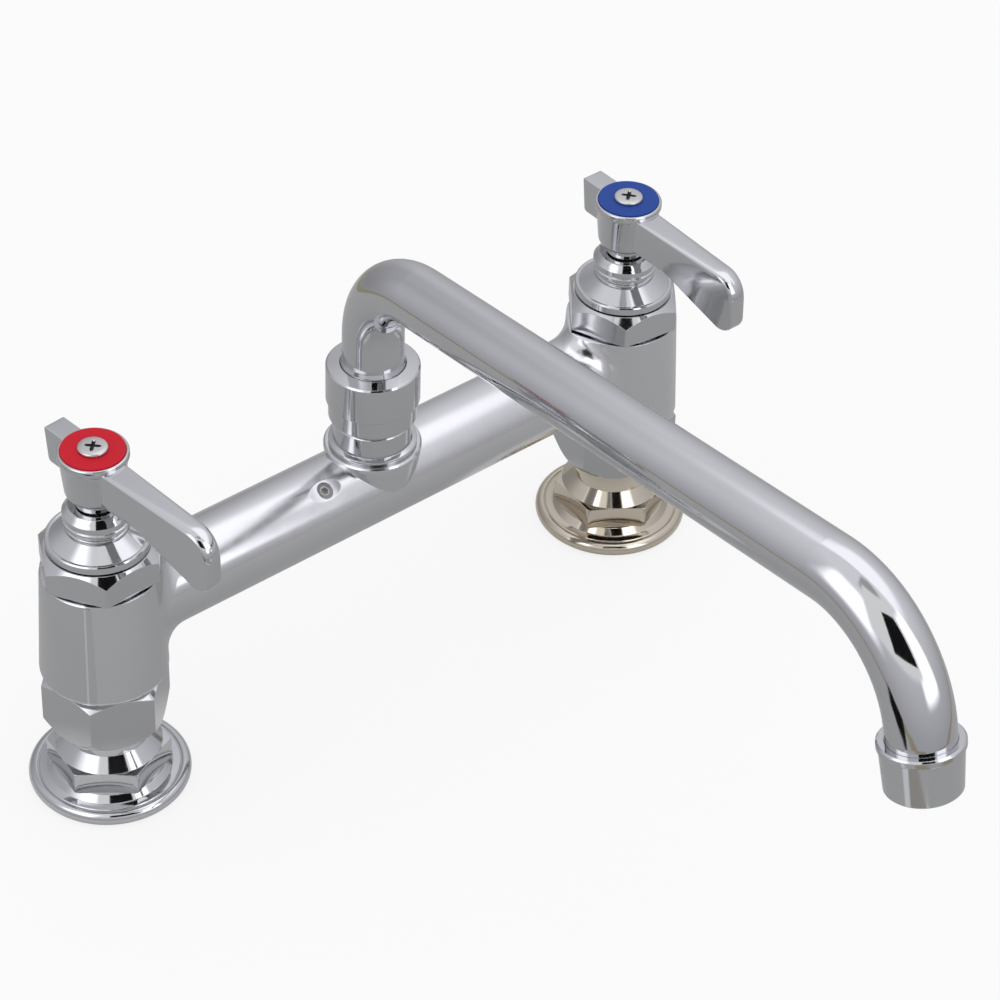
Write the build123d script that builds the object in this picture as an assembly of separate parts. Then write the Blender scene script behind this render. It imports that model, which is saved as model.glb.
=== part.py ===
from build123d import *
import math
import os

# Deck-mount bridge faucet with two quarter-turn lever valves and a swing spout, in millimetres.
# +X runs from the hot valve to the cold valve, -Y points to the user and +Z is up.
# The origin lies on the deck, midway between the two valve axes.

# Overall layout
valve_centres = 203.2
bridge_height = 65.6
hot_side = -1
cold_side = 1

# Clearances
running_gap = 0.06
thread_gap = 0.05
face_gap = 0.02
loose_gap = 0.3
edge_break = 0.5
overcut = 1.0

# Bridge casting
tube_radius = 13.65
tube_wall = 3.0
chamber_low = 43.6
chamber_high = 82.1
chamber_low_radius = 19.4
chamber_high_radius = 17.7
chamber_low_flat = 14.4
chamber_high_flat = 13.1
chamber_edge = 0.9
chamber_blend = 9.0
chamber_foot = 2.6
spigot_radius = 13.6
spigot_length = 7.6
inlet_bore = 6.6
cartridge_bore = 10.9
cartridge_floor = 50.5
boss_wall = 1.5
boss_rise = 1.05
boss_rim = 1.8
boss_foot_radius = 13.2
boss_foot_rise = 2.4

# Inlet flange
flange_radius = 24.8
flange_base_radius = 23.8
flange_rim_height = 5.0
flange_lip_radius = 23.4
flange_dish_radius = 20.4
flange_dish_height = 5.3
flange_hex_width = 32.8
flange_hex_low = 7.7
flange_hex_high = 14.2
flange_cone_radius = 16.2
flange_cone_high = 18.2
flange_neck_radius = 12.6
flange_neck_high = 25.6
flange_pipe_radius = 9.3
flange_pipe_depth = 13.0

# Union: tailpiece, washer and nut
tailpiece_radius = 10.4
tailpiece_collar_radius = 12.6
tailpiece_collar = 2.8
tailpiece_low = 15.0
tailpiece_wall = 3.0
coupling_washer = 1.8
union_nut_width = 34.4
union_nut_low = 27.2
union_nut_high = 43.2
union_cut_angle = 30.0
union_cut_inset = 0.4

# Bonnet
bonnet_hex_width = 33.1
bonnet_collar_radius = 15.6
bonnet_hex_low = 84.1
bonnet_hex_high = 92.2
bonnet_cut_angle = 33.0
bonnet_cut_inset = 0.65
bonnet_rim_radius = 15.5
bonnet_rim_low = 92.6
bonnet_rim_high = 95.2
bonnet_cone_radius = 14.2
bonnet_top_radius = 9.3
bonnet_top_height = 98.4
bonnet_skirt = 7.6
bonnet_bore = 7.1
bonnet_neck_radius = 8.5
bonnet_neck_high = 103.8

# Direction of one corner of each hexagon, as tightened on each side
flange_corner = {hot_side: 21.5, cold_side: 25.5}
union_corner = {hot_side: 41.8, cold_side: 18.8}
bonnet_corner = {hot_side: 62.0, cold_side: 52.0}

# Packing nut
packing_nut_radius = 10.0
packing_nut_high = 107.0
packing_ring_radius = 9.2
packing_ring_height = 2.2
packing_groove = 0.8
packing_crown_radius = 8.4
packing_shoulder = 1.6
packing_step = 0.7
packing_roof = 2.6
packing_height = 3.0

# Cartridge
housing_radius = 10.7
housing_neck_radius = 6.9
housing_neck_high = 100.2
housing_roof_low = 67.6
housing_window_low = 58.8
housing_window_angle = 100
seat_seal_height = 1.8
seat_seal_inner = 7.0
ceramic_radius = 8.6
ceramic_height = 3.2
ceramic_port_inner = 2.6
ceramic_port_outer = 6.8
ceramic_port_angle = 100

# Valve stem
stem_radius = 4.0
stem_foot_radius = 7.8
stem_foot_height = 4.6
stem_foot_core = 4.8
stem_foot_angle = 120
stem_key_width = 5.0
stem_key_length = 13.0
stem_key_depth = 1.4
stem_high = 121.4
stem_thread_depth = 10.0
stem_o_ring_height = 92.0
o_ring_section = 1.6
o_ring_groove = 2.2
o_ring_squeeze = 0.82

# Lever handle
lever_neck_low = 107.6
lever_neck_radius = 5.7
lever_hub_low = 112.7
lever_hub_radius = 7.8
lever_hub_top_radius = 9.7
lever_rim_radius = 10.5
lever_rim_height = 2.0
lever_high = 126.5
lever_top = 124.9
lever_reach = 52.0
lever_nose = 7.5
lever_heel = 7.2
lever_low = 103.4
lever_web_reach = 21.5
lever_web_low = 112.9
lever_width = 6.4
lever_low_width = 5.0
lever_edge = 0.6
tail_reach = 17.6
tail_foot_reach = 15.8
tail_high = 126.2
tail_low = 114.6
tail_width = 6.8
tail_low_width = 5.8
tail_foot = 1.8
socket_depth = 14.0
hot_lever_turn = 5.0
cold_lever_turn = 0.0

# Index disc and handle screw
disc_radius = 9.5
disc_thickness = 1.3
disc_proud = 0.4
screw_head_radius = 4.1
screw_head_height = 1.7
screw_shank_radius = 2.0
screw_shank_length = 12.0
recess_length = 4.6
recess_width = 0.9
recess_depth = 1.1
recess_turn = 40.0
screw_crown_share = 0.72

# Swivel in the middle of the bridge
riser_sleeve = 0.55
riser_sleeve_rise = 0.5
riser_sleeve_taper = 1.2
riser_gap = 0.15
washer_margin = 0.2
retainer_width = 0.9
spud_wall = 2.7
spud_thread_wall = 0.1
spud_thread_length = 9.3
spud_flange_width = 1.4
spud_flange_height = 2.0
spud_collar_wall = 0.9
spud_collar_height = 9.7
spud_shoulder = 0.9
spud_neck_length = 8.4
nut_wall = 2.3
nut_foot_height = 1.2
nut_band_height = 7.4
nut_step = 0.8
nut_height = 19.9
nut_crown = 0.6
thrust_washer = 1.4
ferrule_collar = 3.2
retaining_washer = 1.2
ferrule_tail_length = 16.4
ferrule_socket = 9.0
ferrule_ring_pitch = 6.0
ferrule_ring_margin = 3.2
ferrule_bore = 6.0

# Lock screw in its spot face on the tube
lock_screw_offset = -24.0
lock_screw_angle = 33.0
spot_face_radius = 5.6
spot_face_depth = 1.0
lock_screw_radius = 2.3
lock_screw_length = 3.6
lock_screw_sunk = 0.4
lock_socket_radius = 1.1
lock_socket_depth = 2.0

# Swing spout
spout_radius = 9.45
spout_wall = 1.2
spout_corner_height = 145.1
spout_elbow = 27.7
spout_reach = 238.6
spout_rise = 8.63
spout_end_bend = 34.6
spout_end_lean = 12.8
spout_end_length = 9.0
spout_turn = -4.15

# Aerator
aerator_wall = 2.25
aerator_taper = 1.2
aerator_length = 15.0
aerator_overlap = 7.0
aerator_lip = 1.2
aerator_lip_width = 0.8
aerator_seat_step = 0.25
aerator_rim = 1.9
aerator_washer = 1.4
aerator_washer_width = 2.4
aerator_hole_radius = 0.9
aerator_hole_circle = 5.2
aerator_holes = 8


def disc(radius, low, high):
    """Round bar about the vertical axis between two heights."""
    return Pos(0, 0, low) * Cylinder(radius, high - low, align=(Align.CENTER, Align.CENTER, Align.MIN))


def ring(outer, inner, low, high):
    """Round bar with a round bore."""
    return disc(outer, low, high) - disc(inner, low, high)


def turned(points):
    """Outline of radius and height pairs turned about the vertical axis."""
    outline = make_face(Polyline(*points, close=True))
    return revolve(Plane.XZ * outline, Axis.Z)


def hexagon(width, low, high, corner_angle):
    """Hexagonal bar of a width across flats, with one corner at the given angle."""
    outline = RegularPolygon(width / 2, 6, major_radius=False, rotation=corner_angle)
    return Pos(0, 0, low) * extrude(outline, high - low)


def chamfered_hexagon(width, low, high, corner_angle, cut_angle, cut_inset):
    """Hexagonal bar whose corners are turned back at both ends."""
    flat = width / 2
    corner = flat / math.cos(math.pi / 6)
    inner = flat - cut_inset
    drop = (corner - inner) * math.tan(math.radians(cut_angle))
    outline = [(0, low), (inner, low), (corner, low + drop), (corner, high - drop), (inner, high), (0, high)]
    return hexagon(width, low, high, corner_angle) & turned(outline)


def at_valve(side, shape):
    """Puts a piece modelled about the vertical axis onto a valve's axis."""
    return Pos(side * valve_centres / 2, 0, 0) * shape


ring_depth = o_ring_section * o_ring_squeeze


def o_ring(groove_radius, height):
    """O-ring squeezed in its groove: flat where it meets groove and bore, bulged between."""
    half = o_ring_section / 2
    flat = half / 2
    inner = groove_radius + face_gap
    outer = groove_radius + ring_depth - face_gap
    outline = [
        (inner, height - flat),
        ((inner + outer) / 2, height - half),
        (outer, height - flat),
        (outer, height + flat),
        ((inner + outer) / 2, height + half),
        (inner, height + flat),
    ]
    return turned(outline)


# Radii of the swivel and the aerator, from the spout's tube outwards
riser_radius = spout_radius + riser_sleeve
spud_neck_radius = riser_radius + 2 * washer_margin + retainer_width
spud_bore = spud_neck_radius - spud_wall
spud_thread_radius = spud_neck_radius + spud_thread_wall
spud_collar_radius = spud_neck_radius + spud_collar_wall
spud_flange_radius = spud_collar_radius + spud_flange_width
boss_radius = spud_flange_radius + boss_wall
nut_band_radius = spud_neck_radius + nut_wall
nut_radius = nut_band_radius + nut_step
ferrule_tail_radius = spud_bore - running_gap
aerator_top_radius = spout_radius + aerator_wall
aerator_low_radius = aerator_top_radius - aerator_taper
aerator_seat = spout_radius - aerator_seat_step
aerator_lip_bore = aerator_seat - aerator_lip_width
aerator_washer_bore = aerator_seat - aerator_washer_width

# Heights that follow from the tube and the stack of pieces
boss_high = bridge_height + tube_radius + boss_rise
boss_foot_height = bridge_height + boss_foot_rise
spud_low = boss_high - spud_thread_length
nut_low = boss_high + spud_collar_height
nut_band_low = nut_low + nut_foot_height
nut_step_height = nut_low + nut_band_height
nut_shoulder = nut_low + nut_height
nut_high = nut_shoulder + nut_crown
spud_high = nut_low + spud_neck_length
ferrule_tail_low = spud_high - ferrule_tail_length
riser_sleeve_high = nut_high + riser_sleeve_rise
spigot_low = chamber_low - spigot_length
collar_high = spigot_low - coupling_washer
collar_low = collar_high - tailpiece_collar
fixed_disc_low = cartridge_floor + seat_seal_height
moving_disc_low = fixed_disc_low + ceramic_height + face_gap
moving_disc_high = moving_disc_low + ceramic_height
stem_foot_low = moving_disc_high + face_gap
stem_foot_high = stem_foot_low + stem_foot_height
housing_shoulder = chamber_high - bonnet_skirt
washer_low = spud_high
washer_high = washer_low + thrust_washer
ferrule_high = washer_high + ferrule_collar
retainer_high = ferrule_high + retaining_washer
disc_seat = lever_high + disc_proud - disc_thickness
disc_top = disc_seat + disc_thickness
packing_roof_low = packing_nut_high - packing_roof
lock_screw_high = tube_radius - spot_face_depth + lock_screw_sunk
lock_screw_low = lock_screw_high - lock_screw_length


def valve_chamber(side):
    """Outer form of one chamber: a tapered round body with a flat outer face, blended into the tube."""
    height = chamber_high - chamber_low
    slope = (chamber_low_radius - chamber_high_radius) / height
    spare = chamber_blend + tube_radius
    body = Pos(0, 0, chamber_low - spare) * Cone(
        chamber_low_radius + slope * spare,
        chamber_high_radius - slope * spare,
        height + 2 * spare,
        align=(Align.CENTER, Align.CENTER, Align.MIN),
    )
    half_tube = Pos(-side * valve_centres / 4, 0, bridge_height) * (
        Rot(0, 90, 0) * Cylinder(tube_radius, valve_centres / 2)
    )
    joined = body + half_tube
    seam = []
    for edge in joined.edges():
        box = edge.bounding_box()
        beside_tube = abs(box.center().Z - bridge_height) < tube_radius / 2 + face_gap
        on_body = 0 < -side * box.center().X < chamber_low_radius
        if beside_tube and on_body and box.size.Z > tube_radius / 2:
            seam.append(edge)
    joined = fillet(seam, chamber_blend)
    joined &= Pos(0, 0, chamber_low) * Box(
        valve_centres + height, 4 * chamber_low_radius, height, align=(Align.CENTER, Align.CENTER, Align.MIN)
    )
    lean = math.degrees(math.atan2(chamber_low_flat - chamber_high_flat, height))
    outside = Box(
        chamber_low_radius,
        4 * chamber_low_radius,
        4 * height,
        align=(Align.MIN if side > 0 else Align.MAX, Align.CENTER, Align.CENTER),
    )
    return joined - Pos(side * chamber_low_flat, 0, chamber_low) * (Rot(0, -side * lean, 0) * outside)


def bridge_body():
    """Casting: tube, two chambers with spigots, spout boss, waterways and the spot face."""
    body = None
    for side in (hot_side, cold_side):
        chamber = valve_chamber(side)
        corners = [
            edge
            for edge in chamber.edges()
            if edge.center().X * side > chamber_high_flat - chamber_edge
            and edge.bounding_box().size.Z > (chamber_high - chamber_low) / 2
        ]
        chamber = fillet(corners, chamber_edge)
        foot = [
            edge
            for edge in chamber.edges()
            if edge.bounding_box().max.Z < chamber_low + face_gap and abs(edge.center().X) < valve_centres / 4
        ]
        chamber = at_valve(side, fillet(foot, chamber_foot))
        body = chamber if body is None else body + chamber
    body += turned(
        [
            (0, bridge_height),
            (boss_foot_radius, bridge_height),
            (boss_foot_radius, boss_foot_height),
            (boss_radius, boss_high - boss_rim),
            (boss_radius, boss_high - edge_break),
            (boss_radius - edge_break, boss_high),
            (0, boss_high),
        ]
    )
    for side in (hot_side, cold_side):
        body += at_valve(side, disc(spigot_radius, spigot_low, cartridge_floor))
    body -= Pos(0, 0, bridge_height) * (Rot(0, 90, 0) * Cylinder(tube_radius - tube_wall, valve_centres))
    for side in (hot_side, cold_side):
        body -= at_valve(side, disc(inlet_bore, spigot_low - overcut, chamber_high))
        body -= at_valve(side, disc(cartridge_bore, cartridge_floor, chamber_high + overcut))
    body -= disc(spud_thread_radius + thread_gap, bridge_height, boss_high + overcut)
    spot_high = tube_radius - spot_face_depth
    spot = disc(spot_face_radius, spot_high, tube_radius + overcut)
    hole = disc(lock_screw_radius + thread_gap, lock_screw_low - thread_gap, spot_high + overcut)
    body -= Pos(lock_screw_offset, 0, bridge_height) * (Rot(lock_screw_angle, 0, 0) * (spot + hole))
    return body


def lock_screw():
    """Set screw with a socket, in the bottom of the spot face."""
    screw = disc(lock_screw_radius, lock_screw_low, lock_screw_high)
    screw -= hexagon(2 * lock_socket_radius, lock_screw_high - lock_socket_depth, lock_screw_high + overcut, 0)
    return Pos(lock_screw_offset, 0, bridge_height) * (Rot(lock_screw_angle, 0, 0) * screw)


def inlet_flange(side):
    """Base flange: rolled rim, sloping top, raised hexagon and a cone that narrows to a round neck."""
    hex_flat = flange_hex_width / 2
    profile = (
        Line((0, 0), (flange_base_radius, 0))
        + ThreePointArc(
            (flange_base_radius, 0),
            (flange_radius, flange_rim_height / 2),
            (flange_lip_radius, flange_rim_height),
        )
        + Line((flange_lip_radius, flange_rim_height), (flange_dish_radius, flange_dish_height))
        + Line((flange_dish_radius, flange_dish_height), (hex_flat, flange_hex_low))
        + Line((hex_flat, flange_hex_low), (0, flange_hex_low))
        + Line((0, flange_hex_low), (0, 0))
    )
    flange = revolve(Plane.XZ * make_face(profile), Axis.Z)
    flange += hexagon(flange_hex_width, flange_dish_height, flange_hex_high, flange_corner[side])
    flange += turned(
        [
            (0, flange_hex_high),
            (flange_cone_radius, flange_hex_high),
            (flange_neck_radius, flange_cone_high),
            (flange_neck_radius, flange_neck_high - edge_break),
            (flange_neck_radius - edge_break, flange_neck_high),
            (0, flange_neck_high),
        ]
    )
    flange -= disc(flange_pipe_radius, -overcut, flange_pipe_depth)
    flange -= disc(tailpiece_radius - tailpiece_wall, flange_pipe_depth - overcut, flange_neck_high)
    flange -= disc(tailpiece_radius + thread_gap, tailpiece_low, flange_neck_high + overcut)
    return at_valve(side, flange)


def tailpiece(side):
    """Tube with a collar: its lower end is screwed into the flange, the nut pulls on its collar."""
    piece = disc(tailpiece_radius, tailpiece_low, collar_high)
    piece += disc(tailpiece_collar_radius, collar_low, collar_high)
    piece -= disc(tailpiece_radius - tailpiece_wall, tailpiece_low - overcut, collar_high + overcut)
    return at_valve(side, piece)


def coupling_washer_piece(side):
    """Flat washer between the chamber's spigot and the tailpiece."""
    return at_valve(side, ring(tailpiece_collar_radius, inlet_bore, collar_high, spigot_low))


def union_nut(side):
    """Hexagon nut: threaded on the spigot, with a lip under the tailpiece's collar."""
    nut = chamfered_hexagon(
        union_nut_width, union_nut_low, union_nut_high, union_corner[side], union_cut_angle, union_cut_inset
    )
    nut -= disc(spigot_radius + thread_gap, collar_low, union_nut_high + overcut)
    nut -= disc(tailpiece_radius + loose_gap, union_nut_low - overcut, collar_high)
    return at_valve(side, nut)


def bonnet(side):
    """Hexagon that screws into the chamber, with a round rim, a cone and a threaded neck."""
    piece = chamfered_hexagon(
        bonnet_hex_width, bonnet_hex_low, bonnet_hex_high, bonnet_corner[side], bonnet_cut_angle, bonnet_cut_inset
    )
    piece += turned(
        [
            (0, chamber_high),
            (bonnet_collar_radius, chamber_high),
            (bonnet_collar_radius, bonnet_hex_low + edge_break),
            (bonnet_cone_radius, bonnet_hex_low + edge_break),
            (bonnet_cone_radius, bonnet_rim_low - edge_break),
            (bonnet_rim_radius, bonnet_rim_low),
            (bonnet_rim_radius, bonnet_rim_high - edge_break),
            (bonnet_rim_radius - edge_break, bonnet_rim_high),
            (bonnet_cone_radius, bonnet_rim_high - edge_break),
            (bonnet_top_radius, bonnet_top_height),
            (0, bonnet_top_height),
        ]
    )
    piece += disc(cartridge_bore - thread_gap, housing_shoulder, chamber_high)
    piece += disc(bonnet_neck_radius, bonnet_top_height, bonnet_neck_high)
    piece -= disc(bonnet_bore, housing_shoulder - overcut, bonnet_neck_high + overcut)
    return at_valve(side, piece)


def packing_nut(side):
    """Stepped round nut that closes on the stem and squeezes the packing."""
    low = bonnet_top_height
    groove = low + packing_ring_height
    crown = packing_nut_high - packing_shoulder
    ring_edge = packing_ring_radius + edge_break
    nut = turned(
        [
            (0, low),
            (packing_ring_radius, low),
            (ring_edge, low + edge_break),
            (ring_edge, groove - packing_groove),
            (packing_ring_radius, groove),
            (packing_nut_radius, groove + packing_groove),
            (packing_nut_radius, crown - packing_step - edge_break),
            (packing_nut_radius - packing_step, crown - edge_break),
            (packing_nut_radius - packing_step, crown),
            (packing_crown_radius, packing_nut_high),
            (0, packing_nut_high),
        ]
    )
    nut -= disc(bonnet_neck_radius + thread_gap, low - overcut, packing_roof_low)
    nut -= disc(stem_radius + loose_gap, low, packing_nut_high + overcut)
    return at_valve(side, nut)


def stem_packing(side):
    """Ring squeezed between the packing nut and the neck of the bonnet."""
    packing = ring(
        bonnet_bore - thread_gap, stem_radius + running_gap, packing_roof_low - packing_height, packing_roof_low
    )
    return at_valve(side, packing)


def sector(inner, outer, low, high, middle, spread):
    """Part of a ring, used for ports and windows."""
    start = math.radians(middle - spread / 2)
    end = math.radians(middle + spread / 2)
    centre = math.radians(middle)
    outline = make_face(
        ThreePointArc(
            (inner * math.cos(start), inner * math.sin(start)),
            (inner * math.cos(centre), inner * math.sin(centre)),
            (inner * math.cos(end), inner * math.sin(end)),
        )
        + Line(
            (inner * math.cos(end), inner * math.sin(end)),
            (outer * math.cos(end), outer * math.sin(end)),
        )
        + ThreePointArc(
            (outer * math.cos(end), outer * math.sin(end)),
            (outer * math.cos(centre), outer * math.sin(centre)),
            (outer * math.cos(start), outer * math.sin(start)),
        )
        + Line(
            (outer * math.cos(start), outer * math.sin(start)),
            (inner * math.cos(start), inner * math.sin(start)),
        )
    )
    return Pos(0, 0, low) * extrude(outline, high - low)


def cartridge_housing(side):
    """Brass sleeve that holds the ceramic discs, with windows to the tube and a neck for the stem."""
    housing = disc(housing_radius, fixed_disc_low, housing_shoulder)
    housing += disc(housing_neck_radius, housing_shoulder, housing_neck_high)
    housing -= disc(ceramic_radius + running_gap, fixed_disc_low - overcut, housing_roof_low)
    housing -= disc(stem_radius + running_gap, housing_roof_low - overcut, housing_neck_high + overcut)
    for middle in (0, 180):
        housing -= sector(
            ceramic_radius - overcut,
            housing_radius + overcut,
            housing_window_low,
            housing_roof_low - overcut,
            middle,
            housing_window_angle,
        )
    return at_valve(side, housing)


def fixed_disc(side):
    """Ceramic disc with two ports, keyed still in the housing."""
    piece = disc(ceramic_radius, fixed_disc_low, fixed_disc_low + ceramic_height)
    for middle in (90, 270):
        piece -= sector(
            ceramic_port_inner,
            ceramic_port_outer,
            fixed_disc_low - overcut,
            fixed_disc_low + ceramic_height + overcut,
            middle,
            ceramic_port_angle,
        )
    return at_valve(side, piece)


def moving_disc(side):
    """Ceramic disc that the stem turns: its ports meet those of the fixed disc when open."""
    piece = disc(ceramic_radius - loose_gap, moving_disc_low, moving_disc_high)
    for middle in (90, 270):
        piece -= sector(
            ceramic_port_inner,
            ceramic_port_outer,
            moving_disc_low - overcut,
            moving_disc_high + overcut,
            middle,
            ceramic_port_angle,
        )
    slot = Box(
        2 * ceramic_radius,
        stem_key_width,
        stem_key_depth,
        align=(Align.CENTER, Align.CENTER, Align.MAX),
    )
    piece -= Pos(0, 0, moving_disc_high) * slot
    return at_valve(side, piece)


def seat_seal(side):
    """Rubber ring between the fixed disc and the floor of the chamber."""
    return at_valve(side, ring(ceramic_radius, seat_seal_inner, cartridge_floor, fixed_disc_low))


def valve_stem(side):
    """Stem: keyed foot on the moving disc, O-ring groove and a bored head for the handle screw."""
    stem = disc(stem_foot_radius, stem_foot_low, stem_foot_high)
    for middle in (90, 270):
        stem -= sector(
            stem_foot_core,
            stem_foot_radius + overcut,
            stem_foot_low - overcut,
            stem_foot_high + overcut,
            middle,
            stem_foot_angle,
        )
    key = Box(
        stem_key_length,
        stem_key_width - 2 * running_gap,
        stem_key_depth,
        align=(Align.CENTER, Align.CENTER, Align.MAX),
    )
    stem += Pos(0, 0, stem_foot_low) * key
    stem += disc(stem_radius, stem_foot_low, stem_high)
    half_groove = o_ring_groove / 2
    stem -= ring(
        stem_radius + overcut,
        stem_radius - ring_depth,
        stem_o_ring_height - half_groove,
        stem_o_ring_height + half_groove,
    )
    stem -= disc(screw_shank_radius + thread_gap, stem_high - stem_thread_depth, stem_high + overcut)
    return at_valve(side, stem)


def stem_o_ring(side):
    """O-ring in the stem's groove, against the bore of the housing's neck."""
    return at_valve(side, o_ring(stem_radius - ring_depth, stem_o_ring_height))


def lever_slab(outline, low, low_width, high, high_width):
    """Slab with an outline in the lever's upright plane, drafted from top to bottom, its rims chamfered."""
    upright = Plane(origin=(0, 0, 0), x_dir=(0, -1, 0), z_dir=(-1, 0, 0))
    section = make_face(
        Polyline(
            (-low_width / 2, low),
            (low_width / 2, low),
            (high_width / 2, high),
            (-high_width / 2, high),
            close=True,
        )
    )
    slab = extrude(upright * outline, high_width, both=True)
    slab &= extrude(Plane.XZ * section, 2 * lever_reach, both=True)
    rims = [
        edge
        for edge in slab.edges()
        if abs(edge.center().X) > low_width / 2 - lever_edge / 2 and abs(edge.center().Y) > face_gap
    ]
    return chamfer(rims, lever_edge)


def lever_handle(side, turn):
    """Die-cast lever: tapered hub, deep blade with a rounded nose and heel, and a short tail."""
    blade_outline = make_face(
        Line((0, lever_top), (lever_reach - lever_nose, lever_top))
        + JernArc((lever_reach - lever_nose, lever_top), (1, 0), lever_nose, -90)
        + Line((lever_reach, lever_top - lever_nose), (lever_reach, lever_low + lever_heel))
        + JernArc((lever_reach, lever_low + lever_heel), (0, -1), lever_heel, -90)
        + Line((lever_reach - lever_heel, lever_low), (lever_web_reach, lever_web_low))
        + Line((lever_web_reach, lever_web_low), (0, lever_web_low))
        + Line((0, lever_web_low), (0, lever_top))
    )
    tail_outline = make_face(
        Polyline(
            (0, tail_low),
            (-tail_foot_reach + tail_foot, tail_low),
            (-tail_foot_reach, tail_low + tail_foot),
            (-tail_reach, tail_high - tail_foot),
            (-tail_reach + tail_foot, tail_high),
            (0, tail_high),
            close=True,
        )
    )
    handle = lever_slab(blade_outline, lever_low, lever_low_width, lever_top, lever_width)
    handle += lever_slab(tail_outline, tail_low, tail_low_width, tail_high, tail_width)
    handle += turned(
        [
            (0, lever_neck_low),
            (lever_neck_radius, lever_neck_low),
            (lever_neck_radius, lever_hub_low),
            (lever_hub_radius - edge_break, lever_hub_low),
            (lever_hub_radius, lever_hub_low + edge_break),
            (lever_hub_top_radius, lever_high - lever_rim_height - edge_break),
            (lever_rim_radius, lever_high - lever_rim_height),
            (lever_rim_radius, lever_high - edge_break),
            (lever_rim_radius - edge_break, lever_high),
            (0, lever_high),
        ]
    )
    handle -= disc(disc_radius + thread_gap, disc_seat, lever_high + overcut)
    handle -= disc(stem_radius + thread_gap, lever_neck_low - overcut, lever_neck_low + socket_depth)
    handle -= disc(screw_shank_radius + loose_gap, lever_neck_low, lever_high)
    return at_valve(side, Rot(0, 0, turn) * handle)


def index_disc(side):
    """Coloured disc in the recess on top of the lever, held by the handle screw."""
    return at_valve(side, ring(disc_radius, screw_shank_radius + loose_gap, disc_seat, disc_top))


def handle_screw(side, turn):
    """Domed screw with a cross recess, through the disc and lever into the stem."""
    crown_high = disc_top + screw_head_height
    edge_high = disc_top + screw_head_height / 2
    crown = make_face(
        Polyline((0, crown_high), (0, disc_top), (screw_head_radius, disc_top), (screw_head_radius, edge_high))
        + ThreePointArc(
            (screw_head_radius, edge_high),
            (screw_head_radius * screw_crown_share, crown_high - (crown_high - edge_high) * (1 - screw_crown_share)),
            (0, crown_high),
        )
    )
    screw = revolve(Plane.XZ * crown, Axis.Z)
    screw += disc(screw_shank_radius, disc_top - screw_shank_length, disc_top)
    bar = Box(
        recess_length,
        recess_width,
        2 * recess_depth,
        align=(Align.CENTER, Align.CENTER, Align.CENTER),
    )
    screw -= Pos(0, 0, crown_high) * (bar + Rot(0, 0, 90) * bar)
    return at_valve(side, Rot(0, 0, turn + recess_turn) * screw)


def swivel_spud():
    """Collar screwed into the boss: it carries the nut and the ferrule turns in its bore."""
    flange_high = boss_high + spud_flange_height
    return turned(
        [
            (spud_bore, spud_low),
            (spud_thread_radius, spud_low),
            (spud_thread_radius, boss_high),
            (spud_flange_radius - edge_break, boss_high),
            (spud_flange_radius, boss_high + edge_break),
            (spud_flange_radius, flange_high - edge_break),
            (spud_collar_radius, flange_high),
            (spud_collar_radius, nut_low - spud_shoulder),
            (spud_neck_radius, nut_low),
            (spud_neck_radius, spud_high),
            (spud_bore, spud_high),
        ]
    )


def swivel_nut():
    """Large stepped round nut: screwed on the spud, with a roof round the riser."""
    riser_hole = riser_radius + riser_gap
    thread = spud_neck_radius + thread_gap
    return turned(
        [
            (thread, nut_low),
            (nut_band_radius - 2 * edge_break, nut_low),
            (nut_band_radius, nut_band_low),
            (nut_band_radius, nut_step_height - edge_break),
            (nut_radius, nut_step_height),
            (nut_radius, nut_shoulder - edge_break),
            (nut_radius - edge_break, nut_shoulder),
            (riser_hole, nut_high),
            (riser_hole, retainer_high),
            (thread, retainer_high),
        ]
    )


def thrust_washer_piece():
    """Washer between the spud and the collar of the ferrule."""
    return ring(spud_neck_radius - washer_margin, spud_bore + washer_margin, washer_low, washer_high)


def retaining_washer_piece():
    """Washer between the collar of the ferrule and the roof of the nut."""
    outer = spud_neck_radius - washer_margin
    return ring(outer, riser_radius + washer_margin, ferrule_high + face_gap, retainer_high)


def ferrule_ring_heights():
    """Heights of the two O-rings on the ferrule's tail."""
    first = ferrule_tail_low + ferrule_ring_margin
    return (first, first + ferrule_ring_pitch)


def spout_ferrule():
    """Brass ferrule: tail in the spud with two O-ring grooves, collar and socket in the riser."""
    socket_high = ferrule_high + ferrule_socket
    half_groove = o_ring_groove / 2
    ferrule = disc(ferrule_tail_radius, ferrule_tail_low, washer_high + face_gap)
    ferrule += disc(spud_neck_radius - washer_margin, washer_high + face_gap, ferrule_high)
    ferrule += disc(spout_radius - spout_wall, ferrule_high, socket_high)
    ferrule -= disc(ferrule_bore, ferrule_tail_low - overcut, socket_high + overcut)
    for height in ferrule_ring_heights():
        ferrule -= ring(
            ferrule_tail_radius + overcut,
            ferrule_tail_radius - ring_depth,
            height - half_groove,
            height + half_groove,
        )
    return Rot(0, 0, spout_turn) * ferrule


def ferrule_o_rings():
    """Two O-rings in the grooves of the ferrule."""
    groove_radius = ferrule_tail_radius - ring_depth
    rings = [o_ring(groove_radius, height) for height in ferrule_ring_heights()]
    return Rot(0, 0, spout_turn) * Compound(children=rings)


def spout_points():
    """Corners of the spout's centre line in its own upright plane, and its end direction."""
    rise = math.tan(math.radians(spout_rise))
    lean = math.radians(spout_end_lean)
    corner = (spout_reach, spout_corner_height + spout_reach * rise)
    down = (math.sin(lean), -math.cos(lean))
    arm = (math.cos(math.radians(spout_rise)), math.sin(math.radians(spout_rise)))
    turn = math.acos(arm[0] * down[0] + arm[1] * down[1])
    tangent = spout_end_bend * math.tan(turn / 2)
    end = (
        corner[0] + down[0] * (tangent + spout_end_length),
        corner[1] + down[1] * (tangent + spout_end_length),
    )
    return corner, end, down


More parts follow.
